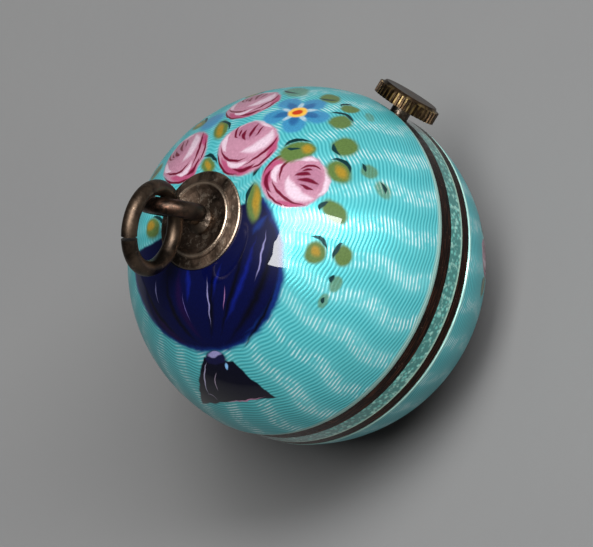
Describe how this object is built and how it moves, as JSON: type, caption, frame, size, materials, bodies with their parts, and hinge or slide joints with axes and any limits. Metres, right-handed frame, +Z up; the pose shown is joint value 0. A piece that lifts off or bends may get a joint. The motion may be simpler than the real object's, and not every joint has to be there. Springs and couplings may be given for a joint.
{
  "type": "ball pendant watch",
  "caption": "Enamelled ball-shaped pendant watch with a hinged dome, bow and split ring, side winding crown, crystal and a small mechanical movement inside.",
  "frame": {"origin": "centre of the bow's eye on the ball's axis, 14.5 mm above the ball's centre", "axes": "+Z up the ball's axis through the pendant, +X out through the winding crown, +Y towards the case hinge"},
  "size_m": [0.0265, 0.0256, 0.032],
  "materials": {
    "enamel_turquoise": "translucent turquoise enamel over engine turning, with painted flowers and an urn",
    "tarnished_silver": "silver tarnished brown-black, worn bright on the edges",
    "crown_brass": "dark worn brass, knurled rim",
    "crystal_glass": "clear polished",
    "gilt_brass": "frosted gilt",
    "polished_steel": "polished",
    "blued_steel": "heat blued",
    "ruby": "polished ruby",
    "dial_enamel": "white vitreous enamel with black hour figures"
  },
  "bodies": {
    "case": {"case_middle": "tarnished_silver", "middle_enamel": "enamel_turquoise", "bezel_shell": "tarnished_silver", "bezel_enamel": "enamel_turquoise", "crystal": "crystal_glass", "rehaut_ring": "gilt_brass", "hinge_pin": "tarnished_silver", "crown_tube": "tarnished_silver", "mainplate": "gilt_brass", "barrel_bridge": "gilt_brass", "train_bridge": "gilt_brass", "pallet_bridge": "gilt_brass", "balance_cock": "gilt_brass", "bridge_screws": "blued_steel", "case_screws": "polished_steel", "train_jewels": "ruby", "crown_wheel_core": "polished_steel", "click_spring": "polished_steel", "dial": "dial_enamel"},
    "dome": {"dome_shell": "tarnished_silver", "dome_enamel": "enamel_turquoise", "pendant_cup": "tarnished_silver", "bow_loop": "tarnished_silver", "bow_post": "tarnished_silver", "bow_nut": "tarnished_silver"},
    "jump_ring": {"jump_ring": "tarnished_silver"},
    "winding_pinion": {"winding_pinion": "polished_steel"},
    "crown": {"crown": "crown_brass", "winding_stem": "polished_steel"},
    "clutch": {"sliding_clutch": "polished_steel"},
    "setting_lever": {"setting_lever": "polished_steel"},
    "yoke": {"yoke": "polished_steel"},
    "crown_wheel": {"crown_wheel": "polished_steel"},
    "ratchet": {"ratchet_wheel": "polished_steel", "ratchet_screw": "polished_steel", "barrel_arbor": "polished_steel"},
    "click": {"click": "polished_steel"},
    "barrel": {"barrel": "gilt_brass", "barrel_cover": "gilt_brass", "mainspring": "blued_steel"},
    "center": {"center_wheel": "gilt_brass"},
    "third": {"third_wheel": "gilt_brass"},
    "fourth": {"fourth_wheel": "gilt_brass"},
    "escape": {"escape_wheel": "polished_steel"},
    "pallet": {"pallet_fork": "polished_steel", "pallet_stones": "ruby"},
    "balance": {"balance_wheel": "gilt_brass", "hairspring": "blued_steel"},
    "minute": {"cannon_pinion": "gilt_brass", "minute_hand": "blued_steel"},
    "minute_wheel": {"minute_wheel": "gilt_brass"},
    "hour": {"hour_wheel": "gilt_brass", "hour_hand": "blued_steel"}
  },
  "joints": [
    {"name": "dome_hinge", "type": "hinge", "parent": "case", "child": "dome", "pos_m": [0, 0.0126, -0.01444], "axis": [-1, 0, 0], "range_deg": [0, 95]},
    {"name": "ring_swing", "type": "hinge", "parent": "dome", "child": "jump_ring", "pos_m": [-0.00024, -0.0001, 0.00173], "axis": [0.3795, -0.9068, -0.1838], "range_deg": [-150, 3]},
    {"name": "winding", "type": "hinge", "parent": "case", "child": "winding_pinion", "pos_m": [0.0071, 0, -0.0145], "axis": [1, 0, 0], "continuous": true},
    {"name": "crown_pull", "type": "slide", "parent": "winding_pinion", "child": "crown", "axis": [1, 0, 0], "range_m": [0, 0.0007]},
    {"name": "clutch_slide", "type": "slide", "parent": "winding_pinion", "child": "clutch", "axis": [1, 0, 0], "range_m": [-0.00061, 0]},
    {"name": "setting_lever_turn", "type": "hinge", "parent": "case", "child": "setting_lever", "pos_m": [0.00815, -0.0024, -0.0145], "axis": [0, 0, 1], "range_deg": [-20, 0]},
    {"name": "yoke_turn", "type": "hinge", "parent": "case", "child": "yoke", "pos_m": [0.0058, -0.003, -0.0145], "axis": [0, 0, 1], "range_deg": [0, 15.5]},
    {"name": "crown_wheel_turn", "type": "hinge", "parent": "case", "child": "crown_wheel", "pos_m": [0.005, 0, -0.0126], "axis": [0, 0, 1], "continuous": true},
    {"name": "ratchet_turn", "type": "hinge", "parent": "case", "child": "ratchet", "pos_m": [0.0012, 0.00455, -0.0126], "axis": [0, 0, 1], "continuous": true},
    {"name": "click_rock", "type": "hinge", "parent": "case", "child": "click", "pos_m": [-0.00375, 0.0033, -0.0126], "axis": [0, 0, -1], "range_deg": [0, 8]},
    {"name": "fourth_turn", "type": "hinge", "parent": "case", "child": "fourth", "pos_m": [-0.004, -0.0039, -0.0141], "axis": [0, 0, 1], "continuous": true},
    {"name": "third_turn", "type": "hinge", "parent": "case", "child": "third", "pos_m": [-0.0037, -0.00087, -0.0141], "axis": [0, 0, 1], "continuous": true},
    {"name": "center_turn", "type": "hinge", "parent": "case", "child": "center", "pos_m": [0, 0, -0.0141], "axis": [0, 0, 1], "continuous": true},
    {"name": "barrel_turn", "type": "hinge", "parent": "case", "child": "barrel", "pos_m": [0.0012, 0.00455, -0.0143], "axis": [0, 0, 1], "continuous": true},
    {"name": "escape_turn", "type": "hinge", "parent": "case", "child": "escape", "pos_m": [-0.00165, -0.00522, -0.0141], "axis": [0, 0, 1], "continuous": true},
    {"name": "pallet_rock", "type": "hinge", "parent": "case", "child": "pallet", "pos_m": [0.0002, -0.00526, -0.0143], "axis": [0, 0, 1], "range_deg": [-8, 8]},
    {"name": "balance_swing", "type": "hinge", "parent": "case", "child": "balance", "pos_m": [0.00245, -0.00535, -0.0135], "axis": [0, 0, 1], "range_deg": [-270, 270]},
    {"name": "hand_setting", "type": "hinge", "parent": "center", "child": "minute", "pos_m": [0, 0, -0.017], "axis": [0, 0, 1], "continuous": true},
    {"name": "minute_wheel_turn", "type": "hinge", "parent": "case", "child": "minute_wheel", "pos_m": [-0.0012, 0.00208, -0.0165], "axis": [0, 0, 1], "continuous": true},
    {"name": "hour_turn", "type": "hinge", "parent": "case", "child": "hour", "pos_m": [0, 0, -0.017], "axis": [0, 0, 1], "continuous": true}
  ],
  "couplings": [
    {"joint": "clutch_slide", "follows": "crown_pull", "ratio": -0.85714},
    {"joint": "setting_lever_turn", "follows": "crown_pull", "rad_per_m": -485},
    {"joint": "yoke_turn", "follows": "crown_pull", "rad_per_m": 370},
    {"joint": "crown_wheel_turn", "follows": "winding", "ratio": -0.54545},
    {"joint": "ratchet_turn", "follows": "winding", "ratio": 0.33333},
    {"joint": "third_turn", "follows": "fourth_turn", "ratio": -0.13333},
    {"joint": "center_turn", "follows": "fourth_turn", "ratio": 0.016667},
    {"joint": "barrel_turn", "follows": "fourth_turn", "ratio": -0.0027778},
    {"joint": "escape_turn", "follows": "fourth_turn", "ratio": -10},
    {"joint": "minute_wheel_turn", "follows": "hand_setting", "ratio": -0.33333},
    {"joint": "hour_turn", "follows": "hand_setting", "ratio": 0.083333}
  ]
}
